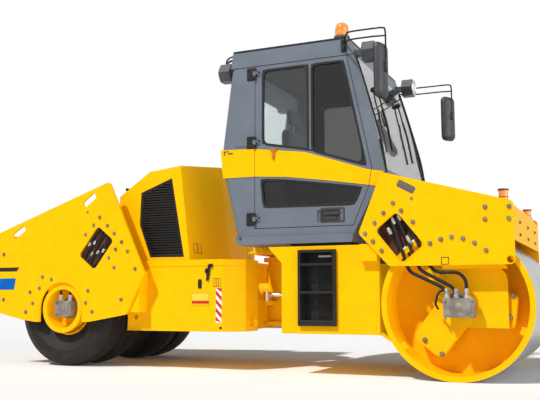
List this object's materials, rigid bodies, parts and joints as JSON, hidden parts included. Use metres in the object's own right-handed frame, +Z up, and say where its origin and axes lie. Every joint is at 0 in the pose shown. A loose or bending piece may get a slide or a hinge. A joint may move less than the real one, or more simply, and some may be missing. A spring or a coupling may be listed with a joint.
{
  "type": "combination roller, articulated, steel drum in front and four smooth tyres behind",
  "caption": "Articulated combination roller with a steel vibratory drum in front, smooth rubber tyres behind and an enclosed cab over the centre pivot, in yellow",
  "frame": {"origin": "on the ground, in the middle of the machine's length and width", "axes": "+X forward, from the tyres to the drum, +Y to the machine's left, +Z up"},
  "size_m": [5.32, 2.2, 3.08],
  "materials": {
    "yellow_paint": "gloss paint",
    "grey_paint": "satin paint",
    "black_paint": "satin paint",
    "engine_paint": "matte paint",
    "steel": "worn bare steel",
    "chrome": "hard chrome",
    "cast": "machined casting",
    "rubber": "matte",
    "tyre": "smooth worn tread",
    "glass": "polished",
    "mirror_housing": "textured",
    "amber": "polished lens",
    "lamp": "smooth",
    "fabric": "woven",
    "trim": "fine grain"
  },
  "bodies": {
    "front_frame_body": {"front_frame": "yellow_paint", "pivot_pins": "steel", "cylinder_bulkhead": "yellow_paint", "front_plates": "yellow_paint", "drum_arms": "yellow_paint", "drum_motors": "cast", "drum_hoses": "rubber", "drum_scraper": "yellow_paint", "front_beam": "yellow_paint", "front_tank": "yellow_paint", "marker_lamps": "amber", "steps": "black_paint", "cab_frame": "grey_paint", "cab_floor": "grey_paint", "cab_roof": "grey_paint", "cab_band": "yellow_paint", "cab_glass": "glass", "cab_mounts": "rubber", "seat_base": "trim", "seat_cushion": "fabric", "seat_back": "fabric", "console": "trim", "mirror_arms": "black_paint", "mirrors": "mirror_housing", "beacon_dome": "amber", "work_lamps": "lamp", "door_hinges": "black_paint"},
    "steering_wheel_body": {"steering_wheel": "trim"},
    "door_right_body": {"door_right": "grey_paint", "door_band_right": "yellow_paint", "door_glass_right": "glass"},
    "door_left_body": {"door_left": "grey_paint", "door_band_left": "yellow_paint", "door_glass_left": "glass"},
    "drum_body": {"drum_shell": "steel", "drum_ends": "yellow_paint", "drum_carriers": "yellow_paint", "drum_buffers": "rubber"},
    "yoke_body": {"yoke": "yellow_paint"},
    "barrel_right_body": {"steering_barrel_right": "yellow_paint"},
    "barrel_left_body": {"steering_barrel_left": "yellow_paint"},
    "rod_right_body": {"steering_rod_right": "chrome"},
    "rod_left_body": {"steering_rod_left": "chrome"},
    "rear_frame_body": {"rear_frame": "yellow_paint", "rear_plates": "yellow_paint", "rear_tank": "yellow_paint", "tail_beam": "yellow_paint", "wheel_arms": "yellow_paint", "wheel_motors": "cast", "wheel_hoses": "rubber", "engine": "engine_paint", "hood_hinges": "black_paint"},
    "hood_body": {"hood": "yellow_paint", "hood_grilles": "black_paint"},
    "wheels_right_body": {"tyres_right": "tyre", "rims_right": "yellow_paint"},
    "wheels_left_body": {"tyres_left": "tyre", "rims_left": "yellow_paint"}
  },
  "joints": [
    {"name": "steering_pivot", "type": "hinge", "parent": "front_frame_body", "child": "yoke_body", "pos_m": [0.175, 0, 0.715], "axis": [0, 0, 1], "range_deg": [-35, 35]},
    {"name": "oscillation", "type": "hinge", "parent": "yoke_body", "child": "rear_frame_body", "pos_m": [-0.08, 0, 0.715], "axis": [1, 0, 0], "range_deg": [-8, 8]},
    {"name": "drum_spin", "type": "hinge", "parent": "front_frame_body", "child": "drum_body", "pos_m": [2.06, 0, 0.6], "axis": [0, 1, 0], "continuous": true},
    {"name": "wheels_right_spin", "type": "hinge", "parent": "rear_frame_body", "child": "wheels_right_body", "pos_m": [-1.71, -0.7, 0.551], "axis": [0, 1, 0], "continuous": true},
    {"name": "wheels_left_spin", "type": "hinge", "parent": "rear_frame_body", "child": "wheels_left_body", "pos_m": [-1.71, 0.7, 0.551], "axis": [0, 1, 0], "continuous": true},
    {"name": "door_right_hinge", "type": "hinge", "parent": "front_frame_body", "child": "door_right_body", "pos_m": [0.301, -0.8066, 1.997], "axis": [0, 0, 1], "range_deg": [-95, 0]},
    {"name": "door_left_hinge", "type": "hinge", "parent": "front_frame_body", "child": "door_left_body", "pos_m": [0.301, 0.8066, 1.997], "axis": [0, 0, 1], "range_deg": [0, 95]},
    {"name": "hood_hinge", "type": "hinge", "parent": "rear_frame_body", "child": "hood_body", "pos_m": [-1.225, 0, 1.725], "axis": [0, -1, 0], "range_deg": [0, 92]},
    {"name": "steering_wheel_spin", "type": "hinge", "parent": "front_frame_body", "child": "steering_wheel_body", "pos_m": [1.08, 0, 1.8993], "axis": [-0.4226, 0, 0.9063], "continuous": true},
    {"name": "barrel_right_swing", "type": "hinge", "parent": "front_frame_body", "child": "barrel_right_body", "pos_m": [0.735, -0.218, 0.68], "axis": [0, 0, 1], "range_deg": [-0.67, 0.67]},
    {"name": "rod_right_slide", "type": "slide", "parent": "barrel_right_body", "child": "rod_right_body", "axis": [0.9992, 0.0393, 0], "range_m": [-0.14, 0.14]},
    {"name": "barrel_left_swing", "type": "hinge", "parent": "front_frame_body", "child": "barrel_left_body", "pos_m": [0.735, 0.218, 0.68], "axis": [0, 0, 1], "range_deg": [-0.67, 0.67]},
    {"name": "rod_left_slide", "type": "slide", "parent": "barrel_left_body", "child": "rod_left_body", "axis": [0.9992, -0.0393, 0], "range_m": [-0.14, 0.14]}
  ],
  "couplings": [
    {"joint": "barrel_right_swing", "follows": "steering_pivot", "ratio": -0.016342},
    {"joint": "rod_right_slide", "follows": "steering_pivot", "m_per_rad": 0.22517},
    {"joint": "barrel_left_swing", "follows": "steering_pivot", "ratio": -0.016342},
    {"joint": "rod_left_slide", "follows": "steering_pivot", "m_per_rad": -0.22517}
  ]
}
